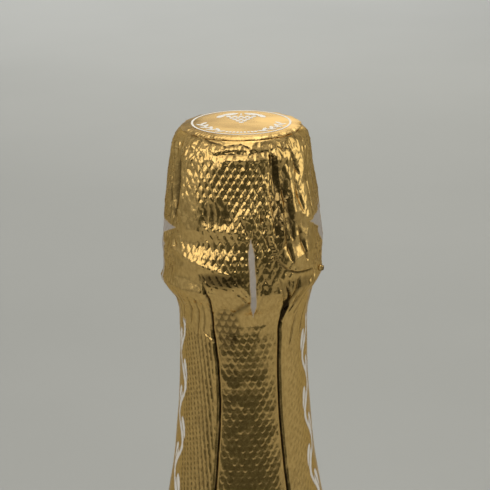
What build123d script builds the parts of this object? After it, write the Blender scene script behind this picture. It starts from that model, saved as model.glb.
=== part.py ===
from build123d import *
import math
import os

# Champagne bottle, 75 cl, closed with a cork, a wire cage and a foil over both.
# Millimetres, +Z up, origin at the centre of the foot's bearing ring, front towards -Y.
# Azimuths are degrees about Z, from the front towards +X.

# Glass
body_radius = 44.0
shoulder_start = 110.0
heel_height = 11.0
bearing_inset = 10.0
bearing_radius = body_radius - bearing_inset
bearing_width = 3.6
punt_height = 38.0
punt_nose_width = 36.0
punt_foot_rise = 6.0
punt_foot_inset = 9.0
body_wall = 5.2
floor_thickness = 9.5
inner_heel_height = 22.0
neck_radius = 15.05
mouth_radius = 9.0
mouth_rounding = 1.2
glass_height = 300.0
ring_radius = 16.4
ring_drop = 13.8
ring_bottom = glass_height - ring_drop
ring_height = 5.5
ring_top_rounding = 1.4
ring_bottom_rounding = 0.5
lip_radius = 14.4
lip_height = 6.2
lip_rounding = 1.6
lip_under_rounding = 1.0
groove_radius = 13.0
# Shares of the way up from the shoulder's start to the ring, with shares of the way in to the neck
shoulder_shares = [(0.17, 0.07), (0.312, 0.245), (0.454, 0.495), (0.596, 0.75), (0.67, 0.866), (0.746, 0.937), (0.829, 0.979)]
neck_straight_share = 0.927

# Wine
ullage = 79.0
wine_level = glass_height - ullage
wine_gap = 0.05

# Cork
shank_gap = 0.05
shank_length = 24.0
natural_disc_thickness = 5.5
head_height = 21.3
head_radius = 14.6
head_seat_radius = 12.8
head_top_radius = 11.6
# Shares of the head's height, with shares of its greatest radius
head_side_shares = [(0.15, 1.0), (0.45, 0.955), (0.8, 0.885)]

# Plate under the wires
plaque_radius = 14.0
plaque_thickness = 0.3
plaque_dome_radius = 10.6
plaque_dome_height = 0.75
plaque_dome_slope = 0.8
notch_radius = 12.6
notch_width = 3.2

# Wire cage
leg_count = 4
wire_diameter = 0.95
wire_gap = 0.05
pair_spread = 0.75
first_leg_azimuth = 5.0
top_ring_height = glass_height + head_height + plaque_thickness + wire_gap + wire_diameter / 2
top_ring_inset = 2.0
top_ring_radius = plaque_radius - top_ring_inset
ring_leave_angle = 12.0
leg_top_reach = 1.8
leg_top_radius = top_ring_radius + leg_top_reach
leg_foot_reach = 0.7
leg_foot_radius = ring_radius + leg_foot_reach
leg_foot_rise = 6.8
leg_foot_height = ring_bottom + leg_foot_rise
twist_top_drop = 5.1
leg_twists = 3
turn_out_radius = 1.2
turn_down_radius = 1.6
turn_foot_radius = 3.0
foot_straight = 1.5
belt_gap = 0.455
belt_radius = neck_radius + belt_gap + wire_diameter / 2
belt_drop = 0.65
hook_gap = 0.1
hook_toe = 0.4

# Eyelet
eyelet_azimuth = 50.0
eyelet_gap = 0.15
eyelet_root_drop = 0.3
eyelet_root_height = 1.4
eyelet_turn_radius = 2.0
eyelet_stem_height = 4.8
eyelet_stem_twists = 1
eyelet_loop_radius = 3.0
eyelet_loop_rise = 3.9

# Foil
foil_thickness = 0.25
foil_gap = 0.1
cap_top_height = top_ring_height + wire_diameter / 2 + foil_gap + foil_thickness
cap_top_reach = 0.35
cap_top_radius = leg_top_radius + cap_top_reach
cap_hem_width = 5.15
cap_hole_radius = cap_top_radius - cap_hem_width
cap_shoulder_drop = 6.35
cap_shoulder_reach = 2.85
cap_shoulder_rounding = 9.0
cap_low_rise = 5.8
cap_low_reach = 2.2
cap_low_rounding = 12.0
cap_widest_drop = 1.0
cap_widest_reach = 2.5
cap_widest_rounding = 2.0
cap_tuck_drop = 5.0
cap_tuck_reach = 1.25
cap_tuck_rounding = 0.6
tear_drop = 5.9
tear_height = ring_bottom - tear_drop
tear_reach = 1.05
tear_radius = neck_radius + tear_reach
tear_gap = 0.1
top_disc_reach = 0.25
top_disc_radius = cap_top_radius + top_disc_reach
top_disc_thickness = 0.25
flare_height = 5.3
flare_start = tear_height - flare_height
pleat_count = 4
pleat_first_azimuth = 33.0
pleat_angle = 18.0
pleat_thickness = 0.25
pleat_top_drop = 1.0

# Paper
label_gap = 0.1
label_thickness = 0.2
front_label_rise = 13.0
front_label_top_drop = 2.0
front_label_width = 96.0
back_label_rise = 19.0
back_label_top_drop = 8.0
back_label_width = 70.0
collar_drop = 108.2
collar_foot = ring_bottom - collar_drop
collar_height = 32.0
foil_start_rise = 10.0
foil_foot = collar_foot + foil_start_rise

# Length by which a cutter passes the solid that it cuts
overrun = 5.0


def turned(outline):
    """The solid of a closed outline in the XZ plane, turned a full round about Z."""
    return revolve(make_face(Plane.XZ * outline), Axis.Z)


def band(inner_radius, outer_radius, bottom, top):
    """A plain tube from one height to another."""
    ring = Circle(outer_radius) - Circle(inner_radius)
    return Pos(0, 0, bottom) * extrude(ring, top - bottom)


def sector(azimuth, angle, reach, bottom, top):
    """A wedge about an azimuth, for cutting a turned shape to width."""
    half = math.radians(angle) / 2
    corners = [(0, 0)]
    corners += [(reach * math.sin(share * half), -reach * math.cos(share * half)) for share in (-1, 0, 1)]
    wedge = extrude(make_face(Polyline(*corners, close=True)), top - bottom)
    return Pos(0, 0, bottom) * Rot(0, 0, azimuth) * wedge


def at(azimuth, out, across, height):
    """The point at a distance out from the bottle's axis and a distance across, towards +azimuth."""
    turn = math.radians(azimuth)
    x = out * math.sin(turn) + across * math.cos(turn)
    y = across * math.sin(turn) - out * math.cos(turn)
    return Vector(x, y, height)


def shoulder_points(low_radius, high_radius):
    """Points of the long curve from the body's side up to the neck."""
    rise = ring_bottom - shoulder_start
    drop = low_radius - high_radius
    points = [(low_radius, shoulder_start)]
    points += [(low_radius - drop * inward, shoulder_start + rise * up) for up, inward in shoulder_shares]
    points.append((high_radius, shoulder_start + rise * neck_straight_share))
    return points


def shoulder_curve(low_radius, high_radius):
    return Spline(*shoulder_points(low_radius, high_radius), tangents=[(0, 1), (0, 1)])


def punt_curve(foot_radius, foot_height, nose_height):
    """The hollow under the foot, or the floor over it: a blunt nose and walls that steepen down to the foot."""
    nose_side = (punt_nose_width / 2, nose_height)
    foot_side = (foot_radius - punt_foot_inset, foot_height + punt_foot_rise)
    return Bezier((0, nose_height), nose_side, foot_side, (foot_radius, foot_height))


def shoulder_core(clearance):
    """The shoulder and neck as one turned solid, larger than the glass by a clearance."""
    low_radius = body_radius + clearance
    high_radius = neck_radius + clearance
    neck_start = shoulder_points(low_radius, high_radius)[-1]
    outline = shoulder_curve(low_radius, high_radius)
    outline += Polyline(
        neck_start,
        (high_radius, ring_bottom),
        (0, ring_bottom),
        (0, shoulder_start),
        (low_radius, shoulder_start),
    )
    return turned(outline)


def shoulder_skin(clearance, thickness, bottom, top):
    """A thin skin round the shoulder and neck between two heights."""
    skin = shoulder_core(clearance + thickness) - shoulder_core(clearance)
    slab = Pos(0, 0, bottom) * extrude(Circle(body_radius * 2), top - bottom)
    return skin & slab


def glass_outside():
    """The bottle as if it were full glass: heel, side, shoulder, neck, ring and lip, over the punt."""
    bearing_outer = bearing_radius + bearing_width / 2
    bearing_inner = bearing_radius - bearing_width / 2
    neck_start = shoulder_points(body_radius, neck_radius)[-1]
    ring_top = ring_bottom + ring_height
    lip_bottom = glass_height - lip_height
    side_foot = (body_radius, heel_height)
    outline = Bezier((bearing_outer, 0), (body_radius, 0), side_foot)
    outline += Line(side_foot, (body_radius, shoulder_start))
    outline += shoulder_curve(body_radius, neck_radius)
    outline += Line(neck_start, (neck_radius, ring_bottom))
    outline += FilletPolyline(
        (neck_radius, ring_bottom),
        (ring_radius, ring_bottom),
        (ring_radius, ring_top),
        (groove_radius, ring_top),
        (groove_radius, lip_bottom),
        (lip_radius, lip_bottom),
        (lip_radius, glass_height),
        (0, glass_height),
        radius=[ring_bottom_rounding, ring_top_rounding, 0, 0, lip_under_rounding, lip_rounding],
    )
    outline += Line((0, glass_height), (0, punt_height))
    outline += punt_curve(bearing_inner, 0, punt_height)
    outline += Line((bearing_inner, 0), (bearing_outer, 0))
    return turned(outline)


def cavity(clearance):
    """The space inside the glass up to the lip, smaller all round by a clearance."""
    inner_radius = body_radius - body_wall - clearance
    bore_radius = mouth_radius - clearance
    neck_start = shoulder_points(inner_radius, bore_radius)[-1]
    valley = (bearing_radius - bearing_width, floor_thickness + clearance)
    nose_height = punt_height + floor_thickness + clearance
    side_foot = (inner_radius, inner_heel_height)
    outline = punt_curve(valley[0], valley[1], nose_height)
    outline += Bezier(valley, (inner_radius, valley[1]), side_foot)
    outline += Line(side_foot, (inner_radius, shoulder_start))
    outline += shoulder_curve(inner_radius, bore_radius)
    outline += Polyline(
        neck_start,
        (bore_radius, glass_height + overrun),
        (0, glass_height + overrun),
        (0, nose_height),
    )
    return turned(outline)


def glass_bottle():
    """The blown glass, with the inner edge of its mouth rounded."""
    glass = glass_outside() - cavity(0)
    mouth_edge = glass.edges().filter_by(GeomType.CIRCLE).sort_by(Axis.Z)[-2:].sort_by(SortBy.RADIUS)[0]
    return fillet(mouth_edge, mouth_rounding)


def wine():
    """The liquid, up to its level in the neck."""
    return cavity(wine_gap) & extrude(Circle(body_radius), wine_level)


def cork_agglomerate():
    """The cork's body: a shank in the mouth and a pressed-down head on the lip."""
    shank_radius = mouth_radius - shank_gap
    bottom = glass_height - shank_length + 2 * natural_disc_thickness
    head_top = glass_height + head_height
    seat_edge = (head_seat_radius, glass_height)
    side = [(head_radius * out, glass_height + head_height * up) for up, out in head_side_shares]
    top_edge = (head_top_radius, head_top)
    outline = Polyline(
        top_edge,
        (0, head_top),
        (0, bottom),
        (shank_radius, bottom),
        (shank_radius, glass_height),
        seat_edge,
    )
    outline += Spline(seat_edge, *side, top_edge)
    return turned(outline)


def cork_disc(number):
    """One of the natural cork discs under the shank, counted from the bottom."""
    bottom = glass_height - shank_length + number * natural_disc_thickness
    return Pos(0, 0, bottom) * extrude(Circle(mouth_radius - shank_gap), natural_disc_thickness)


def muselet_plaque():
    """The thin plate on the cork, domed inside the wire ring and notched where the legs pass."""
    seat = glass_height + head_height
    flange_top = seat + plaque_thickness
    dome_foot = plaque_dome_radius - plaque_dome_slope
    outline = Polyline(
        (0, seat + plaque_dome_height),
        (dome_foot, seat + plaque_dome_height),
        (plaque_dome_radius, seat),
        (plaque_radius, seat),
        (plaque_radius, flange_top),
        (plaque_dome_radius + plaque_thickness, flange_top),
        (dome_foot + plaque_thickness, flange_top + plaque_dome_height),
        (0, flange_top + plaque_dome_height),
        close=True,
    )
    plate = turned(outline)
    notch_reach = plaque_radius + overrun - notch_radius
    notch = Box(notch_width, notch_reach, overrun, align=(Align.CENTER, Align.MAX, Align.CENTER))
    for leg in range(leg_count):
        azimuth = first_leg_azimuth + leg * 360 / leg_count
        plate -= Pos(0, 0, seat) * Rot(0, 0, azimuth) * Pos(0, -notch_radius, 0) * notch
    return plate


def biarc(start, start_way, end, end_way):
    """Two arcs that join smoothly, from one point and direction to another."""
    chord = end - start
    ways = start_way + end_way
    along = chord.dot(ways)
    reach = chord.dot(chord) / (along + math.sqrt(along**2 + (4 - ways.dot(ways)) * chord.dot(chord)))
    middle = (start + end + (start_way - end_way) * reach) / 2
    middle_way = end - end_way * reach - start - start_way * reach
    return [TangentArc(start, middle, tangent=start_way), TangentArc(middle, end, tangent=middle_way)]


def twisted_run(start, end, across, outward, side, turns):
    """One strand of a twisted pair, side by side with its mate at both ends."""
    axis = end - start
    lead = axis.normalized()
    quarters = 4 * turns
    radius = (wire_diameter + wire_gap) / 2
    stations = []
    for quarter in range(quarters + 1):
        phase = quarter * math.pi / 2
        at_end = quarter in (0, quarters)
        spread = pair_spread if at_end else radius
        offset = across * math.cos(phase) + outward * math.sin(phase)
        swing = outward * math.cos(phase) - across * math.sin(phase)
        point = start + axis * (quarter / quarters) + offset * (spread * side)
        way = axis + swing * (2 * math.pi * turns * radius * side)
        stations.append((point, lead if at_end else way.normalized()))
    edges = []
    for (point, way), (next_point, next_way) in zip(stations, stations[1:]):
        edges += biarc(point, way, next_point, next_way)
    return edges


def leg_strand(azimuth, side):
    """A strand of one leg, from the top ring down to its hook under the belt."""
    across = at(azimuth, 0, 1, 0)
    spread = pair_spread * side
    slope = (leg_foot_radius - leg_top_radius) / (top_ring_height - leg_foot_height)
    start = at(azimuth, leg_top_radius + slope * twist_top_drop, 0, top_ring_height - twist_top_drop)
    end = at(azimuth, leg_foot_radius, 0, leg_foot_height)
    outward = across.cross(end - start).normalized()
    leave = math.radians(ring_leave_angle)
    left_ring = at(azimuth, top_ring_radius * math.cos(leave), side * top_ring_radius * math.sin(leave), top_ring_height)
    to_corner = (top_ring_radius * math.sin(leave) - pair_spread) / math.cos(leave)
    corner_radius = top_ring_radius * math.cos(leave) + to_corner * math.sin(leave)
    hook = wire_diameter + hook_gap
    hook_height = ring_bottom - belt_drop - hook
    straight_foot = leg_foot_height - foot_straight
    top = FilletPolyline(
        left_ring,
        at(azimuth, corner_radius, spread, top_ring_height),
        at(azimuth, leg_top_radius, spread, top_ring_height),
        start + across * spread,
        radius=[turn_out_radius, turn_down_radius],
    )
    foot = FilletPolyline(
        end + across * spread,
        at(azimuth, leg_foot_radius + slope * foot_straight, spread, straight_foot),
        at(azimuth, belt_radius + hook, spread, hook_height),
        at(azimuth, belt_radius - hook_toe, spread, hook_height),
        radius=[turn_foot_radius, hook],
    )
    return [*top.edges(), *twisted_run(start, end, across, outward, side, leg_twists), *foot.edges()]


def tube(edges):
    """A round wire along joined edges."""
    path = Wire(edges)
    section = Plane(origin=path @ 0, z_dir=path % 0) * Circle(wire_diameter / 2)
    return sweep(section, path=path)


def cage_wire(number):
    """One bent wire: a quarter of the top ring between two legs, and a strand down each of them."""
    spacing = 360 / leg_count
    azimuth = first_leg_azimuth + number * spacing
    start = azimuth + ring_leave_angle
    middle = azimuth + spacing / 2
    end = azimuth + spacing - ring_leave_angle
    arc = ThreePointArc(*[at(way, top_ring_radius, 0, top_ring_height) for way in (start, middle, end)])
    return tube([*leg_strand(azimuth, 1), arc, *leg_strand(azimuth + spacing, -1)])


def muselet_belt():
    """The ring wire under the glass ring."""
    section = Plane.XZ * Pos(belt_radius, ring_bottom - belt_drop) * Circle(wire_diameter / 2)
    return revolve(section, Axis.Z)


def muselet_eyelet():
    """The twisted loop, folded up beside the ring, whose two roots stand on the belt's outside."""
    strand_reach = (wire_diameter + wire_gap) / 2 + wire_diameter / 2
    stand = ring_radius + eyelet_gap + strand_reach
    belt_height = ring_bottom - belt_drop
    root_out = belt_radius + wire_diameter + hook_gap
    bend_height = belt_height + eyelet_root_height
    stem_foot = bend_height + eyelet_turn_radius / 2
    stem_top = stem_foot + eyelet_stem_height
    loop_height = stem_top + eyelet_loop_rise
    across = at(eyelet_azimuth, 0, 1, 0)
    outward = at(eyelet_azimuth, 1, 0, 0)
    up = Vector(0, 0, 1)
    start = at(eyelet_azimuth, stand, 0, stem_foot)
    end = at(eyelet_azimuth, stand, 0, stem_top)
    edges = []
    for side in (1, -1):
        spread = pair_spread * side
        root = FilletPolyline(
            at(eyelet_azimuth, root_out, spread, belt_height - eyelet_root_drop),
            at(eyelet_azimuth, root_out, spread, belt_height),
            at(eyelet_azimuth, stand, spread, bend_height),
            start + across * spread,
            radius=[eyelet_turn_radius / 4, eyelet_turn_radius / 4],
        )
        shoulder = at(eyelet_azimuth, stand, eyelet_loop_radius * side, loop_height)
        edges += root.edges()
        edges += twisted_run(start, end, across, outward, side, eyelet_stem_twists)
        edges += biarc(end + across * spread, up, shoulder, up)
    edges.append(
        ThreePointArc(
            at(eyelet_azimuth, stand, eyelet_loop_radius, loop_height),
            at(eyelet_azimuth, stand, 0, loop_height + eyelet_loop_radius),
            at(eyelet_azimuth, stand, -eyelet_loop_radius, loop_height),
        )
    )
    return tube(edges)


def cap_core(inset):
    """The space inside the upper foil's skirt and tuck as one turned solid, drawn in by an inset."""
    top = cap_top_height - inset
    outline = FilletPolyline(
        (0, top),
        (cap_top_radius - inset, top),
        (leg_top_radius + cap_shoulder_reach - inset, cap_top_height - cap_shoulder_drop),
        (leg_foot_radius + cap_low_reach - inset, ring_bottom + cap_low_rise),
        (leg_foot_radius + cap_widest_reach - inset, ring_bottom - cap_widest_drop),
        (neck_radius + cap_tuck_reach - inset, ring_bottom - cap_tuck_drop),
        (tear_radius - inset, tear_height),
        (0, tear_height),
        radius=[0, cap_shoulder_rounding, cap_low_rounding, cap_widest_rounding, cap_tuck_rounding, 0],
    )
    outline += Line((0, tear_height), (0, top))
    return turned(outline)


def foil_cap():
    """The upper foil: a hem turned in under the top disc, the skirt, and the tuck under the belt."""
    shell = cap_core(0) - cap_core(foil_thickness)
    hole = Pos(0, 0, cap_top_height) * Cylinder(cap_hole_radius, overrun)
    return shell - hole


def foil_top_disc():
    """The smooth round of foil glued on the top."""
    return Pos(0, 0, cap_top_height) * extrude(Circle(top_disc_radius), top_disc_thickness)


def neck_foil():
    """The lower foil, from the collar up to the tear line, with its lapped pleats."""
    sleeve = shoulder_skin(foil_gap, foil_thickness, foil_foot, flare_start)
    straight_radius = neck_radius + foil_gap + foil_thickness
    flare_top = tear_height - tear_gap
    flare = turned(
        Polyline(
            (straight_radius - foil_thickness, flare_start),
            (straight_radius, flare_start),
            (tear_radius, flare_top),
            (tear_radius - foil_thickness, flare_top),
            close=True,
        )
    )
    pleat_top = flare_start - pleat_top_drop
    lap = shoulder_skin(foil_gap + foil_thickness, pleat_thickness, foil_foot, pleat_top)
    foil = sleeve + flare
    for number in range(pleat_count):
        azimuth = pleat_first_azimuth + number * 360 / pleat_count
        foil += lap & sector(azimuth, pleat_angle, body_radius, foil_foot, pleat_top)
    return foil


def collar_label():
    """The paper band over the foil's lower edge."""
    clearance = foil_gap + foil_thickness + pleat_thickness + label_gap
    return shoulder_skin(clearance, label_thickness, collar_foot, collar_foot + collar_height)


def body_label(azimuth, width, rise, top_drop):
    """A paper label on the straight side of the body, from a rise over the heel to a drop under the shoulder."""
    inner_radius = body_radius + label_gap
    bottom = heel_height + rise
    top = shoulder_start - top_drop
    sheet = band(inner_radius, inner_radius + label_thickness, bottom, top)
    angle = math.degrees(width / body_radius)
    return sheet & sector(azimuth, angle, body_radius * 2, bottom, top)


def write(name, shape):
    shape.label = name
    export_step(shape, "parts/" + name + ".step")


os.makedirs("parts", exist_ok=True)
write("glass_bottle", glass_bottle())
write("wine", wine())
write("cork_agglomerate", cork_agglomerate())
write("cork_disc_lower", cork_disc(0))
write("cork_disc_upper", cork_disc(1))
write("muselet_plaque", muselet_plaque())
for leg in range(leg_count):
    write("cage_wire_" + str(leg + 1), cage_wire(leg))
write("muselet_belt", muselet_belt())
write("muselet_eyelet", muselet_eyelet())
write("foil_cap", foil_cap())
write("foil_top_disc", foil_top_disc())
write("neck_foil", neck_foil())
write("collar_label", collar_label())
write("front_label", body_label(0, front_label_width, front_label_rise, front_label_top_drop))
write("back_label", body_label(180, back_label_width, back_label_rise, back_label_top_drop))
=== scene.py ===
import math

import bmesh
import bpy
import numpy as np
from mathutils import Matrix, Vector, noise


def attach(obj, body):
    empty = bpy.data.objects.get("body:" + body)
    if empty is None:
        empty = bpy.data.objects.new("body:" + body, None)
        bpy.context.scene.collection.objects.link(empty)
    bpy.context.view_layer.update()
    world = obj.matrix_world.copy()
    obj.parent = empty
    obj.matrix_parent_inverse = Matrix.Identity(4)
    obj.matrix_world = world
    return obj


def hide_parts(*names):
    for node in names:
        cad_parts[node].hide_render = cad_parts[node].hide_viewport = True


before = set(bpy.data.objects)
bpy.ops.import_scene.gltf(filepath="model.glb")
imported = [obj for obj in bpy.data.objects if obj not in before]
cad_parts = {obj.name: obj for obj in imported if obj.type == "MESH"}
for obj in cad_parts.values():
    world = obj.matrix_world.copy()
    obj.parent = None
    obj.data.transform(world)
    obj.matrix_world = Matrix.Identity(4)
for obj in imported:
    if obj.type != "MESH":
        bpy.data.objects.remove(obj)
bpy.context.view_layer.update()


# The bottle: thick dark green glass, blown in a mould, with a punt pushed up into its foot.
# Its neck swells into a ring for the cage and ends in a rounded lip.

MM = 0.001
# Where in its noise a finish is all dark, and from where it is all light
DARK_BELOW = 0.35
LIGHT_ABOVE = 0.65
GRAIN_DETAIL = 4.0
RELIEF_STRENGTH = 0.6
GLASS_IOR = 1.52


def finish(name, dark, light, grain, rough, metal=0.0, stretch=(1.0, 1.0, 1.0), relief=0.0):
    """A material whose colour and roughness wander between two values with a grain, in object space.
    The grain is in spots to the metre, and the relief in millimetres."""
    made = bpy.data.materials.new(name)
    made.use_nodes = True
    nodes = made.node_tree.nodes
    links = made.node_tree.links
    shader = nodes["Principled BSDF"]
    shader.inputs["Metallic"].default_value = metal
    place = nodes.new("ShaderNodeTexCoord")
    turn = nodes.new("ShaderNodeMapping")
    turn.inputs["Scale"].default_value = stretch
    links.new(place.outputs["Object"], turn.inputs["Vector"])
    grains = nodes.new("ShaderNodeTexNoise")
    grains.inputs["Scale"].default_value = grain
    grains.inputs["Detail"].default_value = GRAIN_DETAIL
    links.new(turn.outputs["Vector"], grains.inputs["Vector"])
    ramp = nodes.new("ShaderNodeValToRGB")
    dark_end, light_end = ramp.color_ramp.elements
    dark_end.position = DARK_BELOW
    dark_end.color = (*dark, 1.0)
    light_end.position = LIGHT_ABOVE
    light_end.color = (*light, 1.0)
    links.new(grains.outputs["Fac"], ramp.inputs["Fac"])
    links.new(ramp.outputs["Color"], shader.inputs["Base Color"])
    dull = nodes.new("ShaderNodeMapRange")
    dull.inputs["To Min"].default_value = rough[0]
    dull.inputs["To Max"].default_value = rough[1]
    links.new(grains.outputs["Fac"], dull.inputs["Value"])
    links.new(dull.outputs["Result"], shader.inputs["Roughness"])
    if relief:
        bump = nodes.new("ShaderNodeBump")
        bump.inputs["Distance"].default_value = relief * MM
        bump.inputs["Strength"].default_value = RELIEF_STRENGTH
        links.new(grains.outputs["Fac"], bump.inputs["Height"])
        links.new(bump.outputs["Normal"], shader.inputs["Normal"])
    return made


def let_light_through(material, ior):
    """Makes a finish clear, with its index of refraction."""
    shader = material.node_tree.nodes["Principled BSDF"]
    shader.inputs["Transmission Weight"].default_value = 1.0
    shader.inputs["IOR"].default_value = ior


def dress(node, material):
    """Gives a solid of the frame its material."""
    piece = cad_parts[node]
    piece.data.materials.clear()
    piece.data.materials.append(material)


green_glass = finish("green_glass", (0.16, 0.25, 0.06), (0.20, 0.31, 0.08), 18.0, (0.03, 0.07), relief=0.4)
let_light_through(green_glass, GLASS_IOR)
dress("glass_bottle", green_glass)


# The wine: a clear, pale gold liquid with gas dissolved in it, sealed in by the cork.
# It fills the bottle up into the neck.

WINE_IOR = 1.34
pale_wine = finish("pale_wine", (0.86, 0.70, 0.28), (0.92, 0.78, 0.38), 12.0, (0.0, 0.02))
let_light_through(pale_wine, WINE_IOR)
dress("wine", pale_wine)


# The cork: pressed cork granules glued into one body, its head squeezed into a mushroom by the cage.
# Two discs of natural cork, glued under the shank, meet the wine.

GRANULES_TO_THE_METRE = 520.0
GRANULE_CONTRAST = 0.45
cork_granules = finish(
    "cork_granules", (0.36, 0.20, 0.10), (0.66, 0.45, 0.26), 420.0, (0.75, 0.92), relief=0.5
)
granule_nodes = cork_granules.node_tree.nodes
granule_links = cork_granules.node_tree.links
cells = granule_nodes.new("ShaderNodeTexVoronoi")
cells.inputs["Scale"].default_value = GRANULES_TO_THE_METRE
granule_links.new(granule_nodes["Mapping"].outputs["Vector"], cells.inputs["Vector"])
tint = granule_nodes.new("ShaderNodeMix")
tint.data_type = "RGBA"
tint.blend_type = "MULTIPLY"
tint.inputs["Factor"].default_value = GRANULE_CONTRAST
granule_links.new(granule_nodes["Color Ramp"].outputs["Color"], tint.inputs["A"])
granule_links.new(cells.outputs["Color"], tint.inputs["B"])
granule_links.new(tint.outputs["Result"], granule_nodes["Principled BSDF"].inputs["Base Color"])
dress("cork_agglomerate", cork_granules)

natural_cork = finish(
    "natural_cork", (0.42, 0.25, 0.12), (0.70, 0.50, 0.30), 160.0, (0.7, 0.9),
    stretch=(1.0, 1.0, 3.0), relief=0.4,
)
for node in ("cork_disc_lower", "cork_disc_upper"):
    dress(node, natural_cork)


# The plate: a thin round of lacquered tinplate, stamped with a dome in its middle and a notch where each
# wire crosses its edge. It lies loose on the cork, and the cage holds it down.

tinplate = finish("lacquered_tinplate", (0.60, 0.42, 0.16), (0.74, 0.55, 0.24), 60.0, (0.22, 0.34), metal=1.0)
dress("muselet_plaque", tinplate)


# The cage: four bent steel wires, twisted together in pairs down its legs and hooked under a belt wire.
# The belt's ends are twisted into an eyelet, which lies folded up under the foil.

drawn_steel = finish(
    "drawn_steel", (0.42, 0.41, 0.40), (0.62, 0.61, 0.59), 900.0, (0.24, 0.42),
    metal=1.0, stretch=(1.0, 1.0, 0.2), relief=0.05,
)
for node in ("cage_wire_1", "cage_wire_2", "cage_wire_3", "cage_wire_4", "muselet_belt", "muselet_eyelet"):
    dress(node, drawn_steel)


# The upper foil: thin gold foil, embossed with small pads, crumpled over the cork and wires and tucked in
# under the belt, just above where it tears off. Its upright bars and wedges of white print are coloured grey,
# as painted shade.

# Heights with the foil's mean radius there, up from where the sleeve starts on the shoulder
foil_outline = [
    (187.0, 30.95), (192.0, 29.42), (196.0, 28.22), (200.0, 27.03), (204.0, 25.84), (208.0, 24.67),
    (212.0, 23.51), (216.0, 22.37), (220.0, 21.26), (224.0, 20.21), (228.0, 19.28), (232.0, 18.57),
    (236.0, 17.92), (240.0, 17.39), (244.0, 16.98), (248.0, 16.6), (252.0, 16.28), (256.0, 16.0),
    (260.0, 15.75), (265.0, 15.6), (270.0, 15.55), (275.0, 15.55), (277.5, 15.7), (280.0, 16.25),
    (281.5, 16.9), (283.0, 17.65), (284.4, 18.4), (285.8, 19.1), (288.7, 18.95), (291.8, 18.9),
    (294.8, 19.05), (300.8, 18.45), (306.8, 17.95), (309.8, 17.6), (312.8, 17.2), (315.8, 16.75),
    (317.2, 16.5), (318.7, 16.15), (320.2, 15.65), (321.2, 15.15), (322.0, 14.5), (322.4, 13.9),
    (322.6, 13.2), (322.68, 9.2),
]
TEAR = 280.25
# The top of the cap's side, and the levels from there round the edge into the hem
CAP_EDGE = 321.9
hem_levels = [322.3, 322.5, 322.6, 322.64, 322.68]
# Between these heights the lower foil's scales give way to the upper foil's pads
UPPER_FOIL = (278.0, 284.0)
# Between these heights the swells, creases and pads die out under the disc
UNDER_DISC = (320.6, 322.2)
PAD_WIDTH = 1.8
PAD_HEIGHT = 1.6
PAD_RELIEF = 0.1
SCALE_ROUNDING = 1.3
CREASE_SHARPNESS = 2.2
# Rough radii of the cap, for its creases and grooves, and of the neck, which turn angles into lengths
CREASED_RADIUS = 17.7
GROOVED_RADIUS = 17.5
NECK_RADIUS = 16.0
# The cage's legs, which show through as soft ridges
LEG_AZIMUTHS = (5, 95, 185, 275)
LEG_HALF_ANGLE = 6.0
LEG_RELIEF = 0.22
# Soft swells and hollows: azimuth, height, their half sizes, and how far the foil goes out
swells = [
    (-30, 291.6, 30, 2.0, 0.35), (-28, 297.7, 27, 2.3, -0.8), (-14, 301.6, 12, 0.9, 0.25),
    (-18, 305.2, 11, 3.2, -0.35), (-42, 303, 9, 6, 0.3), (-62, 309, 6, 7, -0.9), (-53, 309, 5, 8, 0.35),
    (-66, 291, 8, 4, -0.3), (2, 312.6, 18, 5.0, -0.4), (26, 312, 3.5, 8, -0.6), (41, 306, 3.5, 9, 0.4),
    (50, 314, 5, 3.2, -0.3), (57, 306, 6, 9, 0.25), (44, 291.4, 15, 4.2, 0.9), (-80, 284.2, 28, 2.2, 0.8),
    (84, 283.2, 26, 2.2, -1.1), (14, 294, 4, 10, -0.3), (20, 298, 2, 9, 0.25), (2, 319.6, 15, 0.7, -0.4),
    (4, 318.0, 18, 0.6, 0.3), (-13, 288.4, 14, 1.5, 0.3), (-13, 285.4, 14, 1.5, -0.35),
    (12, 281.6, 15, 1.8, 0.4), (14, 286.5, 7, 2.4, -0.35), (-45, 286, 14, 3, 0.2), (33, 318, 8, 1.6, 0.4),
    (-46, 317, 10, 1.6, 0.3), (-20, 316, 6, 1.5, 0.25), (30, 300.5, 5, 2.6, 0.35), (78, 308, 6, 7, -0.4),
    (84, 296, 6, 4, 0.2), (96, 313, 12, 4, -0.4), (118, 304, 9, 7, -0.4), (108, 293, 12, 3, 0.35),
    (138, 311, 7, 6, 0.3), (150, 300, 8, 8, -0.45), (131, 288.5, 16, 1.6, -0.6), (171, 309, 11, 6, -0.4),
    (166, 293, 10, 3, 0.3), (196, 302, 7, 8, -0.35), (207, 312, 9, 5, 0.3), (223, 303, 9, 7, -0.45),
    (214, 288.6, 15, 1.6, -0.6), (239, 296, 9, 5, 0.35), (252, 308, 8, 6, -0.4),
    (262, 289, 12, 1.8, -0.5), (178, 283.6, 14, 2.0, 0.4), (246, 283, 14, 2.0, 0.4),
    (98, 283.4, 14, 2.2, 0.4),
]
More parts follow.
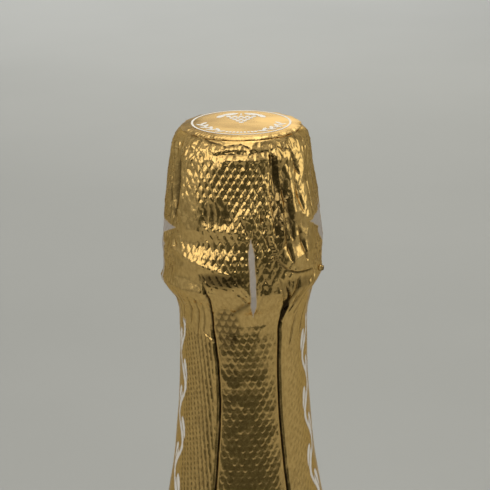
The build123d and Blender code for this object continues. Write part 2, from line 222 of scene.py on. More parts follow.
# Narrow grooves and creases: azimuth and height at both ends, half width, depth, and how much shade is
# painted inside them
grooves = [
    (31, 302.5, 36.5, 293.5, 0.5, 0.55, 0.7), (44, 301.5, 50, 293, 0.5, 0.5, 0.7),
    (46, 312, 51, 304.5, 0.6, 0.4, 0.3), (-17, 320.7, -2, 321.4, 0.3, 0.3, 0.9),
    (-2, 321.4, 6, 320.5, 0.25, 0.3, 0.9), (-36, 321.9, -20, 321.2, 0.32, 0.3, 0.9),
    (79, 288.6, 79, 287.0, 0.35, -1.0, 0.8), (-36, 274.4, -27, 272.8, 0.3, -0.3, 0.0),
    (59, 290.2, 60, 289.4, 0.4, 0.2, 0.9), (-15, 319.0, 8, 319.2, 0.3, 0.25, 0.6),
    (10, 319.4, 22, 319.8, 0.3, 0.2, 0.6), (32, 320.6, 44, 319.0, 0.2, 0.2, 0.7),
    (44, 320.4, 52, 313, 0.4, 0.4, 0.9), (12, 309, 22, 294, 0.35, 0.3, 0.35),
    (22, 313, 24, 300, 0.35, 0.3, 0.3), (26, 318.5, 34, 308, 2.0, 0.4, 0.72),
    (33, 311, 38, 299, 1.5, 0.35, 0.72), (-28, 308.5, -28, 302.5, 0.75, 0.12, 0.4),
    (-22, 308, -22, 303, 0.5, 0.08, 0.45), (-17.5, 307.5, -17.5, 303, 0.3, 0.05, 0.35),
    (-12, 308, -11, 302.5, 1.2, 0.12, 0.3), (-6, 303.4, 1, 306.6, 0.5, -0.2, 0.0),
    (2, 306.6, 5, 303.5, 0.4, -0.2, 0.0), (29, 320, 31, 305, 0.6, -0.35, 0.0),
    (31, 305, 27, 296, 0.6, -0.3, 0.0), (-60, 295.2, -6, 291.2, 1.0, -0.25, 0.0),
    (-61, 317, -64, 302, 1.3, 0.5, 0.75), (-57, 312, -58, 303, 0.5, 0.3, 0.5),
    (-72, 313, -69, 301, 0.4, 0.35, 0.6), (27, 289.5, 35, 282, 0.4, 0.35, 0.5),
    (44, 289, 37, 281, 0.7, 0.4, 0.75), (57, 288, 42, 280, 0.4, 0.3, 0.5),
    (50, 287, 41, 279.5, 0.3, 0.2, 0.4), (62, 286, 49, 279, 0.35, 0.3, 0.4),
    (-4, 286.6, 4, 283.8, 0.2, 0.3, 0.5), (-9, 280.6, 6, 284.0, 0.8, 0.25, 0.6),
    (-24, 288.2, -6, 287.6, 0.2, 0.15, 0.3), (-45, 284, -52, 276, 0.4, 0.25, 0.4),
    (-56, 285, -63, 277, 0.4, 0.25, 0.4), (15, 286, 10, 280, 0.3, 0.2, 0.2),
    (-38, 284, -44, 273, 0.3, 0.25, 0.5), (-66, 283, -70, 274, 0.3, 0.25, 0.5),
    (-33, 283, -36, 275, 0.25, 0.2, 0.5), (70, 283, 60, 272, 0.35, 0.3, 0.5),
    (52, 279, 44, 271, 0.3, 0.2, 0.4), (66, 290, 58, 282, 0.3, 0.25, 0.4),
    (8, 302, 10, 292, 0.4, 0.3, 0.5), (-2, 305, 5, 300, 0.4, 0.25, 0.5),
    (60, 313, 63, 300, 0.3, 0.2, 0.3), (100, 311, 104, 298, 0.4, 0.4, 0.4),
    (121, 315, 124, 305, 0.4, 0.35, 0.4), (143, 300, 139, 291, 0.4, 0.4, 0.4),
    (160, 316, 163, 303, 0.4, 0.4, 0.4), (183, 303, 178, 292, 0.4, 0.4, 0.4),
    (201, 314, 205, 303, 0.4, 0.4, 0.4), (229, 299, 233, 290, 0.4, 0.4, 0.4),
    (244, 316, 241, 304, 0.4, 0.4, 0.4), (259, 304, 262, 293, 0.4, 0.4, 0.4),
    (115, 287, 122, 279, 0.35, 0.3, 0.4), (150, 286, 143, 279, 0.35, 0.3, 0.4),
    (190, 287, 198, 279, 0.35, 0.3, 0.4), (232, 287, 224, 279, 0.35, 0.3, 0.4),
    (110, 320, 122, 318.6, 0.25, 0.3, 0.6), (150, 319, 168, 319.8, 0.25, 0.3, 0.6),
    (205, 319.5, 220, 318.6, 0.25, 0.3, 0.6),
]
# Places that a hand has pressed smooth: azimuth, height and half sizes
smooth_places = [
    (-42, 303, 12, 6), (42, 309, 3, 8), (46, 297, 13, 7), (-14, 284.8, 15, 2.6), (15, 281.0, 15, 2.3),
    (-19, 305.4, 11, 3.6), (-50, 291, 11, 3.5), (-66, 284, 14, 4.5), (55, 284, 24, 6), (60, 309, 5, 9),
    (27, 314, 4, 6), (34, 306, 4, 7), (-45, 288, 14, 4), (-66, 309, 5, 8), (120, 300, 14, 7),
    (165, 286, 22, 4), (205, 306, 12, 8), (240, 287, 24, 4),
]
# Places with fine upright pleats: azimuth, height and half sizes
pleated_places = [
    (15, 297, 7, 14), (-68, 303, 12, 14), (40, 285, 18, 5), (-60, 283, 18, 5), (108, 304, 9, 13),
    (150, 308, 8, 9), (186, 298, 9, 14), (222, 306, 10, 12), (256, 298, 8, 14), (130, 284, 18, 5),
    (205, 284, 20, 5),
]
# Patches of painted shade in hollows that the light hardly reaches: azimuth, height, half sizes, and how dark
hollows = [
    (-19, 305.6, 11, 3.2, 0.12), (-15, 289.6, 18, 1.8, 0.68), (41, 287.2, 20, 1.8, 0.35),
    (-15, 277.6, 8, 3.8, 0.2), (-62, 309, 6, 8, 0.4), (2, 313, 24, 5.0, 0.1), (17, 290, 8, 5, 0.25),
    (27, 306, 7, 8, 0.55), (26, 296, 5, 6, 0.3), (-14, 266, 9, 14, 0.15),
]
# Where creases and pads are softer, where pads are sharper, and where shade is painted between the scales
CALM_PLACE = (58, 307, 17, 15)
CRISP_PLACE = (2, 308, 26, 10)
SHADED_SCALES_PLACE = (-14, 276.8, 11, 5.0)
# The turned-up flap over the eyelet: azimuths with the height of its lower edge
flap_azimuths = [15, 18, 20, 23, 27, 33, 40, 56, 62, 66]
flap_edges = [316, 306, 299, 296, 293.4, 291.5, 290.6, 290.0, 291.5, 300]
FLAP_RELIEF = 0.6
# The seams, where one lap of foil lies over the next: heights with each seam's azimuths there,
# which way the upper lap lies, its step, and how much wider its painted line of shade gets near the belt
seam_heights = [187, 236, 245, 252, 258, 268, 276, 281, 284, 287.5, 289]
seams = [
    ([-24, -24, -23, -22, -22, -24, -28, -27.5, -26, -28.5, -30], -1, 0.3, 0.0),
    ([37, 35.5, 34, 33, 32.5, 32.8, 33.5, 36, 37, 33, 31], 1, 0.38, 0.8),
    ([122, 122, 123, 124, 124, 123, 122, 120, 121, 123, 124], 1, 0.3, 0.0),
    ([214, 214, 213, 212, 212, 213, 214, 216, 215, 213, 212], -1, 0.3, 0.0),
]
# How deep a seam is, the half width of its painted line of shade, and the height where that line is widest
SEAM_DEPTH = 0.3
SEAM_SHADE_HALF_WIDTH = 0.13
GAPE_HEIGHT = 281.5
# The flutes in the neck's left lap, which also carry painted shade, and the ticks of painted shade in its
# right lap
FLUTE_WIDTH = 1.2
FLUTE_SLANT = 0.14
FLUTE_RELIEF = 0.06
TICK_WIDTH = 1.3
TICK_SLANT = 0.5
# The upright bars of white print, coloured grey as painted shade: azimuths, half width in degrees, and lean
# in degrees to the millimetre
PRINT_BAR_AZIMUTHS = (7.0, 97.0, 187.0, 277.0)
PRINT_BAR_HALF_ANGLE = 2.4
PRINT_BAR_LEAN = 0.12
# The wedges of white print at the sides, coloured grey as painted shade: azimuths of tip and root, height at
# the tip, lean and half height
wedges = [
    (-57, -86, 300.2, -0.13, 2.6),
    (-77, -90, 294.5, -0.1, 5.5),
    (54, 88, 301.8, -0.14, 3.4),
    (73, 88, 297.5, 0.1, 7.5),
]
# The vines up the neck: in each full wave of its stem a vine has one leaf on either side
VINE_AZIMUTHS = (-70.0, 70.0, 170.0)
DEGREES_PER_MM = 4.0
STEM_WAVE = 15.0
STEM_SWAY = 1.5
LEAF_SPACING = STEM_WAVE / 2
# How the ink attribute says white print, where 1 says white print darkened by painted shade
PRINTED_WHITE = 2.0
# How far the sleeve's top is tucked in behind the cap's edge
TUCK = 0.1
# Vertices this near each other, in metres, become one
JOIN_DISTANCE = 1e-7


def ease(low, high, value):
    """From 0 at low to 1 at high, with soft ends."""
    share = np.clip((value - low) / (high - low), 0.0, 1.0)
    return share * share * (3.0 - 2.0 * share)


def turned_to(azimuth, centre):
    """The azimuth as seen from a centre, between -180 and 180."""
    return (azimuth - centre + 180.0) % 360.0 - 180.0


def mean_radius(height):
    """The foil's radius at a height, before its folds."""
    return np.interp(height, *np.array(foil_outline).T)


def nearness(azimuth, height, place, low, high):
    """How near the foil is to a place with an azimuth, a height and half sizes, from 1 inside it to 0."""
    centre, level, wide, tall = place
    far = (turned_to(azimuth, centre) / wide) ** 2 + ((height - level) / tall) ** 2
    return 1.0 - ease(low, high, far)


def nearest_of(azimuth, height, places, low, high):
    """How near the foil is to the nearest of several places."""
    return np.max([nearness(azimuth, height, place, low, high) for place in places], axis=0)


def along_groove(azimuth, height, line):
    """How near the foil is to a groove's line: 1 on it, and less beside it and at its ends."""
    start, start_height, end, end_height, half = line
    x = np.radians(turned_to(azimuth, start)) * mean_radius(height)
    y = height - start_height
    end_x = math.radians(end - start) * GROOVED_RADIUS
    end_y = end_height - start_height
    along = np.clip((x * end_x + y * end_y) / (end_x * end_x + end_y * end_y), 0.0, 1.0)
    away = (x - along * end_x) ** 2 + (y - along * end_y) ** 2
    taper = np.sqrt(np.clip(4.0 * along * (1.0 - along), 0.05, 1.0))
    return np.exp(-away / (half * taper) ** 2)


def beside_seam(azimuth, height, places):
    """How far round from a seam the foil is, in millimetres to the right."""
    seam = np.interp(height, seam_heights, places)
    return np.radians(turned_to(azimuth, seam)) * mean_radius(height)


def over_flap(azimuth, height):
    """How many millimetres over the flap's lower edge the foil is, and how much of the flap is there."""
    turn = turned_to(azimuth, 0.0)
    present = ease(15.0, 20.0, turn) * (1.0 - ease(62.0, 68.0, turn))
    return height - np.interp(turn, flap_azimuths, flap_edges), present


def crumple(azimuth, height, across, along, seed):
    """Sharp random creases over the foil, between 0 and 1, with a size across and along in millimetres."""
    reach = CREASED_RADIUS / across
    shift = Vector((seed, seed * 0.7, seed * 1.3))
    values = np.empty(len(azimuth))
    for i, (turn, level) in enumerate(zip(np.radians(azimuth), height)):
        point = Vector((math.sin(turn) * reach, -math.cos(turn) * reach, level / along))
        values[i] = noise.noise(point + shift)
    return 1.0 - np.minimum(np.abs(values) * CREASE_SHARPNESS, 1.0)


def pads(across, height):
    """Embossed pads in staggered rows, 0 in the grooves between them and 1 on their flat tops."""
    u = across / PAD_WIDTH
    v = height / (2.0 * PAD_HEIGHT)
    return ease(0.03, 0.5, np.abs(np.sin(math.pi * (u + v))) * np.abs(np.sin(math.pi * (u - v))))


def scales(across, height):
    """Embossed pads like fish scales: raised at their round lower edges and sinking under the row above."""
    rows = []
    for shift in (0.0, 0.5):
        edge = np.abs(np.sin(math.pi * (across / PAD_WIDTH + shift)))
        rows_up = (height + SCALE_ROUNDING * edge) / (2.0 * PAD_HEIGHT) - shift
        rows.append(((rows_up - np.floor(rows_up)) * 2.0 * PAD_HEIGHT, edge))
    (over, edge), (next_over, next_edge) = rows
    nearest = np.minimum(over, next_over)
    middle = np.where(over < next_over, edge, next_edge)
    sinking = 1.0 - 0.7 * np.clip(nearest / PAD_HEIGHT, 0.0, 1.0)
    return ease(0.0, 0.35, nearest) * sinking * (0.25 + 0.75 * middle)


def flutes(azimuth, height):
    """Fine slanted flutes pressed into the neck's left lap, from -1 in their hollows to 1."""
    turn = turned_to(azimuth, 0.0)
    left_lap = ease(-70.0, -60.0, turn) * (1.0 - ease(-30.0, -25.0, turn))
    left_lap *= 1.0 - ease(272.0, 278.0, height)
    across = np.radians(turn) * NECK_RADIUS - (270.0 - height) * FLUTE_SLANT
    return left_lap * np.sin(across * 2.0 * math.pi / FLUTE_WIDTH)


def swelling(azimuth, height):
    """How far the soft swells and the cage's legs push the upper foil out."""
    out = np.zeros(len(azimuth))
    for centre, level, wide, tall, push in swells:
        far = (turned_to(azimuth, centre) / wide) ** 2 + ((height - level) / tall) ** 2
        out += push * np.exp(-far)
    for leg in LEG_AZIMUTHS:
        out += LEG_RELIEF * np.exp(-((turned_to(azimuth, leg) / LEG_HALF_ANGLE) ** 2))
    return out


def crumpling(azimuth, height, upper, top):
    """How far the random creases, in four sizes, push the foil in and out."""
    pleated = nearest_of(azimuth, height, pleated_places, 0.5, 1.4)
    calm = nearness(azimuth, height, CALM_PLACE, 0.4, 1.4)
    wrinkled = ease(276.0, 281.0, height) * (1.0 - 0.4 * calm)
    out = (crumple(azimuth, height, 2.4, 3.2, 3.1) - 0.5) * (0.08 + 0.24 * top) * wrinkled
    out += (crumple(azimuth, height, 0.9, 5.0, 8.7) - 0.5) * (0.05 + 0.12 * pleated) * wrinkled
    out += (crumple(azimuth, height, 0.8, 0.8, 5.3) - 0.5) * (0.03 + 0.08 * top) * wrinkled
    out += (crumple(azimuth, height, 5.0, 7.0, 1.9) - 0.5) * (0.1 + 0.12 * upper)
    return out


def embossing(azimuth, height, upper, top):
    """How far the pads or scales stand out: less where they are worn or smoothed, and none at a seam."""
    turn = turned_to(azimuth, 0.0)
    across = np.radians(turn) * mean_radius(height)
    lower = 1.0 - ease(286.0, 289.0, height)
    kept = np.ones(len(azimuth))
    for places, _, _, _ in seams:
        side = beside_seam(azimuth, height, places)
        across = np.where((side > 0) & (side < 30.0), side, across)
        kept *= 1.0 - lower * (1.0 - ease(0.4, 1.0, np.abs(side)))
    kept *= 1.0 - 0.85 * nearest_of(azimuth, height, smooth_places, 0.6, 1.3)
    kept *= 1.0 - 0.7 * top
    kept *= 1.0 - 0.6 * ease(34.0, 40.0, turn) * (1.0 - ease(110.0, 122.0, turn)) * (1.0 - upper)
    kept *= 1.0 + 0.5 * upper
    kept *= 0.55 + 0.9 * crumple(azimuth, height, 3.0, 4.0, 6.1)
    kept *= 1.0 + 0.5 * nearness(azimuth, height, CRISP_PLACE, 0.4, 1.4)
    kept *= 1.0 - 0.5 * nearness(azimuth, height, CALM_PLACE, 0.4, 1.4)
    relief = upper * (pads(across, height) - 0.6) + (1.0 - upper) * (scales(across, height) - 0.5)
    return PAD_RELIEF * kept * relief


def foil_radius(azimuth, height):
    """The foil's outer radius at azimuths and heights, with all its folds."""
    upper = ease(*UPPER_FOIL, height)
    lower = 1.0 - ease(286.0, 289.0, height)
    rim = 1.0 - ease(*UNDER_DISC, height)
    top = ease(316.0, 319.0, height) * rim
    out = mean_radius(height)
    out += swelling(azimuth, height) * upper * rim
    for *line, depth, _ in grooves:
        out -= depth * along_groove(azimuth, height, line)
    above, present = over_flap(azimuth, height)
    out += FLAP_RELIEF * present * ease(0.0, 0.3, above) * (1.0 - ease(302.0, 312.0, height))
    for places, way, step, _ in seams:
        side = beside_seam(azimuth, height, places) * way
        out += step * ease(-0.05, 0.22, side) * (1.0 - ease(3.0, 16.0, side)) * lower
        out -= SEAM_DEPTH * np.exp(-(((side + 0.15) / 0.28) ** 2)) * lower
    out -= FLUTE_RELIEF * flutes(azimuth, height)
    out += crumpling(azimuth, height, upper, top) * rim
    out += embossing(azimuth, height, upper, top) * rim
    return out


def lap_shade(azimuth, height):
    """How much shade is painted in streaks along the flutes of the neck's left lap and in ticks on its right
    lap.
    """
    turn = turned_to(azimuth, 0.0)
    dashes = ease(-0.8, 0.3, np.sin(height * 5.6 + azimuth * 0.9))
    unbroken = ease(-7.0, -3.5, beside_seam(azimuth, height, seams[0][0]))
    streaks = ease(0.15, 0.85, flutes(azimuth, height)) * np.maximum(dashes, 0.85 * unbroken)
    right_lap = ease(38.0, 43.0, turn) * (1.0 - ease(80.0, 95.0, turn)) * (1.0 - ease(268.0, 276.0, height))
    across = np.radians(turn) * NECK_RADIUS - height * TICK_SLANT
    ticks = ease(0.0, 0.9, np.sin(across * 2.0 * math.pi / TICK_WIDTH))
    ticks *= ease(-0.5, 0.6, np.sin(height * 4.6 - azimuth * 0.7))
    return np.maximum(0.66 * streaks, 0.24 * right_lap * ticks)


def shade(azimuth, height):
    """How much shade is painted on the foil inside its narrow folds, seams and hollows, between 0 and 1."""
    shades = [dark * along_groove(azimuth, height, line) for *line, _, dark in grooves]
    shades += [dark * nearness(azimuth, height, place, 0.3, 1.5) for *place, dark in hollows]
    # A painted shadow under the flap's lower edge
    above, present = over_flap(azimuth, height)
    shadow_under_flap = np.exp(-(((above + 0.15) / 0.3) ** 2)) * ease(17.0, 23.0, turned_to(azimuth, 0.0))
    shades.append(0.95 * present * shadow_under_flap)
    # A painted line of shade along each seam, widest near the belt
    lower = 1.0 - ease(286.5, 288.0, height)
    for places, way, _, gape in seams:
        side = beside_seam(azimuth, height, places) * way
        half = SEAM_SHADE_HALF_WIDTH + gape * np.exp(-(((height - GAPE_HEIGHT) / 2.6) ** 2))
        shades.append(lower * (1.0 - ease(half, half + 0.2, np.abs(side + 0.12))))
    # Painted shade between the scales, in one patch of the neck
    between = 1.0 - ease(0.2, 0.7, scales(beside_seam(azimuth, height, seams[0][0]), height))
    shades.append(0.72 * between * nearness(azimuth, height, SHADED_SCALES_PLACE, 0.7, 1.4))
    shades.append(lap_shade(azimuth, height))
    return np.max(shades, axis=0)


def print_in_painted_shade(azimuth, height):
    """Where the white print is darkened by painted shade, in the upright bars and in the wedges at the sides.
    """
    white_print_and_shade = []
    for centre in PRINT_BAR_AZIMUTHS:
        across = np.abs(turned_to(azimuth, centre + PRINT_BAR_LEAN * (290.0 - height)))
        ends = np.minimum(ease(278.8, 283.5, height), 1.0 - ease(295.5, 301.2, height))
        white_print_and_shade.append(ease(0.0, 0.5, PRINT_BAR_HALF_ANGLE * ends - across))
    for tip, root, level, lean, half in wedges:
        from_tip = turned_to(azimuth, tip)
        share = from_tip / turned_to(root, tip)
        away = np.abs(height - level - lean * np.abs(from_tip) * 0.5)
        white_print_and_shade.append(ease(0.0, 0.25, half * share * 0.8 - away) * (share < 1.05))
    return np.max(white_print_and_shade, axis=0)


def vines(azimuth, height):
    """Where the foil is printed white, in leafy stems that wind up the neck."""
    limits = ease(226.0, 228.0, height) * (1.0 - ease(275.0, 277.0, height))
    printed = []
    for centre in VINE_AZIMUTHS:
        across = turned_to(azimuth, centre) / DEGREES_PER_MM
        stem = STEM_SWAY * np.sin(height * 2.0 * math.pi / STEM_WAVE)
        vine = ease(0.0, 0.2, 0.45 - np.abs(across - stem) * 0.75)
        for number in range(4):
            side = 1 if number % 2 else -1
            along = (height - LEAF_SPACING * number) % (4 * LEAF_SPACING) - 2 * LEAF_SPACING
            out = (across * side - 1.2 + along * 0.1) / 1.6
            leaf = 1.0 - (out * 1.35) ** 2 - (along / 3.4) ** 2
            vein = np.abs(out * 1.3 + along * 0.25)
            vine = np.maximum(vine, ease(0.0, 0.25, leaf) * ease(0.06, 0.18, vein))
        printed.append(vine * limits * (np.abs(across) < 3.2))
    return np.max(printed, axis=0)


def piece_of(name, mesh):
    """The finished object of a mesh that is being shaped, in the scene."""
    data = bpy.data.meshes.new(name)
    mesh.to_mesh(data)
    mesh.free()
    piece = bpy.data.objects.new(name, data)
    bpy.context.scene.collection.objects.link(piece)
    return piece


def levels_between(low, high, rows):
    """Evenly spaced heights, from one to another."""
    return [low + (high - low) * step / rows for step in range(rows + 1)]


def foil_skin(name, levels, columns):
    """A sleeve of foil: a grid rolled round the axis and joined at the back, whose vertices follow the folds.
    A sleeve from under the tear is tucked in behind the cap's edge above it."""
    mesh = bmesh.new()
    rows = len(levels) - 1
    bmesh.ops.create_grid(mesh, x_segments=columns, y_segments=rows, size=0.5)
    for vertex in mesh.verts:
        turn = vertex.co.x * 2 * math.pi
        level = levels[round((vertex.co.y + 0.5) * rows)]
        vertex.co = (math.sin(turn) * MM, -math.cos(turn) * MM, level * MM)
    bmesh.ops.remove_doubles(mesh, verts=mesh.verts, dist=JOIN_DISTANCE)
    piece = piece_of(name, mesh)
    data = piece.data
    places = np.empty(len(data.vertices) * 3)
    data.vertices.foreach_get("co", places)
    places = places.reshape(-1, 3)
    azimuth = np.degrees(np.arctan2(places[:, 0], -places[:, 1]))
    height = places[:, 2] / MM
    tucked = (height > TEAR) * (levels[0] < TEAR)
    radius = foil_radius(azimuth, height) - TUCK * tucked
    places[:, 0] *= radius
    places[:, 1] *= radius
    data.vertices.foreach_set("co", places.ravel())
    ink = np.maximum(print_in_painted_shade(azimuth, height), PRINTED_WHITE * vines(azimuth, height))
    # The print goes into one attribute, and the painted shade into another
    for attribute, values in (("white_print_and_shade", ink), ("painted_shade", shade(azimuth, height))):
        data.attributes.new(attribute, "FLOAT", "POINT").data.foreach_set("value", values)
    data.shade_smooth()
    return piece


gold_foil = finish(
    "gold_foil", (0.63, 0.415, 0.148), (0.81, 0.55, 0.205), 1400.0, (0.14, 0.26),
    metal=1.0, stretch=(1.0, 1.0, 0.6), relief=0.05,
)
foil_nodes = gold_foil.node_tree.nodes
foil_links = gold_foil.node_tree.links
foil_shader = foil_nodes["Principled BSDF"]
foil_shader.inputs["Specular Tint"].default_value = (0.85, 0.72, 0.50, 1.0)
# From 0 to 1 of this attribute the gold gives way to white print darkened by painted shade, and from 1 to 2
# that gives way to the white print's own colour
print_and_shade = foil_nodes.new("ShaderNodeAttribute")
print_and_shade.attribute_name = "white_print_and_shade"
whiter = foil_nodes.new("ShaderNodeMath")
whiter.operation = "SUBTRACT"
whiter.use_clamp = True
whiter.inputs[1].default_value = 1.0
foil_links.new(print_and_shade.outputs["Fac"], whiter.inputs[0])
coats = foil_nodes.new("ShaderNodeMix")
coats.data_type = "RGBA"
# The grey of the white print in painted shade, then the white of the print
coats.inputs["A"].default_value = (0.45, 0.40, 0.355, 1.0)
coats.inputs["B"].default_value = (0.80, 0.76, 0.70, 1.0)
foil_links.new(whiter.outputs["Value"], coats.inputs["Factor"])
# Painted shade: this attribute darkens the gold where the light hardly reaches, in folds, seams and hollows
painted_shade_level = foil_nodes.new("ShaderNodeAttribute")
painted_shade_level.attribute_name = "painted_shade"
painted_shade_mix = foil_nodes.new("ShaderNodeMix")
painted_shade_mix.data_type = "RGBA"
# The near-black colour of the painted shade
painted_shade_mix.inputs["B"].default_value = (0.035, 0.022, 0.01, 1.0)
foil_links.new(painted_shade_level.outputs["Fac"], painted_shade_mix.inputs["Factor"])
foil_links.new(foil_nodes["Color Ramp"].outputs["Color"], painted_shade_mix.inputs["A"])
paint = foil_nodes.new("ShaderNodeMix")
paint.data_type = "RGBA"
foil_links.new(print_and_shade.outputs["Fac"], paint.inputs["Factor"])
foil_links.new(painted_shade_mix.outputs["Result"], paint.inputs["A"])
foil_links.new(coats.outputs["Result"], paint.inputs["B"])
foil_links.new(paint.outputs["Result"], foil_shader.inputs["Base Color"])
# What isn't gold isn't metal either, and is duller
shine = foil_nodes.new("ShaderNodeMapRange")
shine.inputs["To Min"].default_value = 1.0
shine.inputs["To Max"].default_value = 0.0
foil_links.new(print_and_shade.outputs["Fac"], shine.inputs["Value"])
foil_links.new(shine.outputs["Result"], foil_shader.inputs["Metallic"])
dulling = foil_nodes.new("ShaderNodeMix")
dulling.inputs["B"].default_value = 0.5
foil_links.new(print_and_shade.outputs["Fac"], dulling.inputs["Factor"])
foil_links.new(foil_nodes["Map Range"].outputs["Result"], dulling.inputs["A"])
foil_links.new(dulling.outputs["Result"], foil_shader.inputs["Roughness"])

columns = 480
cap_rows = 190
upper_foil = foil_skin("upper_foil", levels_between(TEAR, CAP_EDGE, cap_rows) + hem_levels, columns)
upper_foil.data.materials.append(gold_foil)
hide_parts("foil_cap")
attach(upper_foil, "foil_cap")


# The sleeve: the lower part of the same foil, wrapped round the neck in four laps and glued, with white vines
# printed up it. It flares over the shoulder, where the collar covers its foot, and runs up behind the tear.

SLEEVE_FOOT = 188.0
SLEEVE_BREAK = 234.0
SLEEVE_TOP = TEAR + 0.7
sleeve_parts = (
    ("neck_sleeve", SLEEVE_BREAK, SLEEVE_TOP, 200),
    ("shoulder_sleeve", SLEEVE_FOOT, SLEEVE_BREAK, 110),
)
for name, low, high, rows in sleeve_parts:
    sleeve = foil_skin(name, levels_between(low, high, rows), columns)
    sleeve.data.materials.append(gold_foil)
    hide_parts("neck_foil")
    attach(sleeve, "bottle")


# The top disc: a round of smoother foil, glued over the cap's hem, with its ragged rim pressed down.
# It is printed in white with a ring, a row of dots, leaves and a bunch of grapes.

# Reaches from the middle, with the disc's height there
disc_outline = [
    (14.35, 322.35), (14.25, 322.52), (14.0, 322.68), (13.5, 322.86), (12.8, 323.0), (11.0, 323.08),
    (7.0, 323.14), (3.0, 323.17),
]
DISC_MIDDLE = 323.18
DISC_THICKNESS = 0.2
RIM_REACH = 12.6
RIM_WIDTH = 1.75
RIM_RAGGEDNESS = 0.36
# The side where the rim is pressed down most, and how far
PRESSED_AZIMUTH = -130.0
PRESSED_REACH = 11.0
PRESSED_DEPTH = 0.3
disc_mesh = bmesh.new()
middle = disc_mesh.verts.new((0, 0, DISC_MIDDLE * MM))
line = [disc_mesh.verts.new((0, -reach * MM, level * MM)) for reach, level in disc_outline]
line.append(middle)
edges = [disc_mesh.edges.new(pair) for pair in zip(line, line[1:])]
FULL_TURN = {"cent": (0, 0, 0), "axis": (0, 0, 1), "angle": 2 * math.pi, "use_merge": True}
bmesh.ops.spin(disc_mesh, geom=line + edges, steps=240, **FULL_TURN)
bmesh.ops.remove_doubles(disc_mesh, verts=disc_mesh.verts, dist=1e-6)
bmesh.ops.subdivide_edges(disc_mesh, edges=disc_mesh.edges, cuts=1, use_grid_fill=True)
for vertex in disc_mesh.verts:
    turn = math.degrees(math.atan2(vertex.co.x, -vertex.co.y))
    reach = math.hypot(vertex.co.x, vertex.co.y) / MM
    if reach > RIM_REACH:
        ragged = noise.noise(Vector((turn * 0.11, reach * 0.2, 4.0)))
        ragged += 0.6 * noise.noise(Vector((turn * 0.4, reach * 1.2, 9.0)))
        vertex.co.z += RIM_RAGGEDNESS * MM * ragged * (reach - RIM_REACH) / RIM_WIDTH
    else:
        vertex.co.z += 0.012 * MM * noise.noise(vertex.co * 160.0)
    pressed = max(0.0, (reach - PRESSED_REACH) / 3.3)
    pressed *= 0.5 + 0.5 * math.cos(math.radians(turn - PRESSED_AZIMUTH))
    vertex.co.z -= PRESSED_DEPTH * MM * pressed
bmesh.ops.recalc_face_normals(disc_mesh, faces=disc_mesh.faces)
top_disc = piece_of("top_disc", disc_mesh)
top_disc.data.shade_smooth()
wall = top_disc.modifiers.new("thickness", "SOLIDIFY")
wall.thickness = DISC_THICKNESS * MM
wall.offset = -1.0
satin_foil = finish(
    "satin_foil", (0.42, 0.26, 0.08), (0.86, 0.59, 0.23), 62.0, (0.2, 0.34),
    metal=0.95, stretch=(1.0, 2.0, 1.0),
)
satin_foil.node_tree.nodes["Principled BSDF"].inputs["Specular Tint"].default_value = (0.92, 0.83, 0.68, 1.0)
top_disc.data.materials.append(satin_foil)
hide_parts("foil_top_disc")
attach(top_disc, "foil_cap")

PRINT_RISE = 0.03
print_mesh = bmesh.new()


def print_height(reach):
    """The height of the print at a reach from the disc's middle, in millimetres."""
    return float(np.interp(reach, *np.array(disc_outline[::-1]).T)) + PRINT_RISE


def printed_ring(inner, outer):
    """A thin printed ring."""
    level = print_height((inner + outer) / 2) * MM
    pair = [print_mesh.verts.new((0, -reach * MM, level)) for reach in (inner, outer)]
    edge = print_mesh.edges.new(pair)
    bmesh.ops.spin(print_mesh, geom=pair + [edge], steps=180, **FULL_TURN)


def printed_spot(x, y, width, length, turn, sides):
    """A printed spot or leaf, longer than wide, turned about its own middle."""
    made = bmesh.ops.create_circle(print_mesh, cap_ends=True, radius=0.5 * MM, segments=sides)["verts"]
    bmesh.ops.scale(print_mesh, vec=(width, length, 1.0), verts=made)
    bmesh.ops.rotate(print_mesh, cent=(0, 0, 0), matrix=Matrix.Rotation(turn, 3, "Z"), verts=made)
    level = print_height(math.hypot(x, y))
    bmesh.ops.translate(print_mesh, vec=(x * MM, y * MM, level * MM), verts=made)


# The ring
printed_ring(11.4, 11.9)
# The row of dots at the front
DOT_REACH = 9.8
for step in range(-4, 5):
    turn = math.radians(step * 5.0)
    printed_spot(DOT_REACH * math.sin(turn), -DOT_REACH * math.cos(turn), 0.7, 1.2, turn, 10)
# The leaves on both sides of the dots, by turns nearer to the middle and further out
for side in (-1, 1):
    for step in range(8):
        way = (-1) ** step
        turn = math.radians(side * (30.0 + step * 7.5))
        reach = 9.4 + 0.5 * way
        lean = side * 0.9 * way
        printed_spot(reach * math.sin(turn), -reach * math.cos(turn), 0.9, 2.7, turn + lean, 10)
# The grapes, in rows from the top down, with two leaves on each side and a stalk
GRAPE_SPACING = 1.5
GRAPE_DROP = 1.45
GRAPE_SIZE = 1.25
for row, count in enumerate((5, 4, 3, 2, 1)):
    for place in range(count):
        across = (place - (count - 1) / 2) * GRAPE_SPACING
        printed_spot(across, 5.2 - row * GRAPE_DROP, GRAPE_SIZE, GRAPE_SIZE, 0.0, 14)
for side in (-1, 1):
    printed_spot(side * 2.6, 7.6, 1.9, 4.2, side * 1.1, 12)
    printed_spot(side * 4.9, 5.6, 1.5, 3.2, side * 0.5, 12)
printed_spot(0.0, 7.6, 0.5, 2.2, 0.0, 6)
bmesh.ops.remove_doubles(print_mesh, verts=print_mesh.verts, dist=JOIN_DISTANCE)
bmesh.ops.recalc_face_normals(print_mesh, faces=print_mesh.faces)
disc_print = piece_of("disc_print", print_mesh)
white_ink = finish("white_ink", (0.91, 0.87, 0.78), (0.97, 0.93, 0.85), 300.0, (0.4, 0.5))
disc_print.data.materials.append(white_ink)
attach(disc_print, "foil_cap")


# The labels: a cream paper band glued round the sleeve's foot, and a plain paper label glued on the front
# and on the back of the body. Each is printed with two gold rules that have a narrow green line in them.

label_rules = {"collar_label": (181.0, 207.0), "front_label": (27.5, 104.5), "back_label": (33.5, 98.5)}
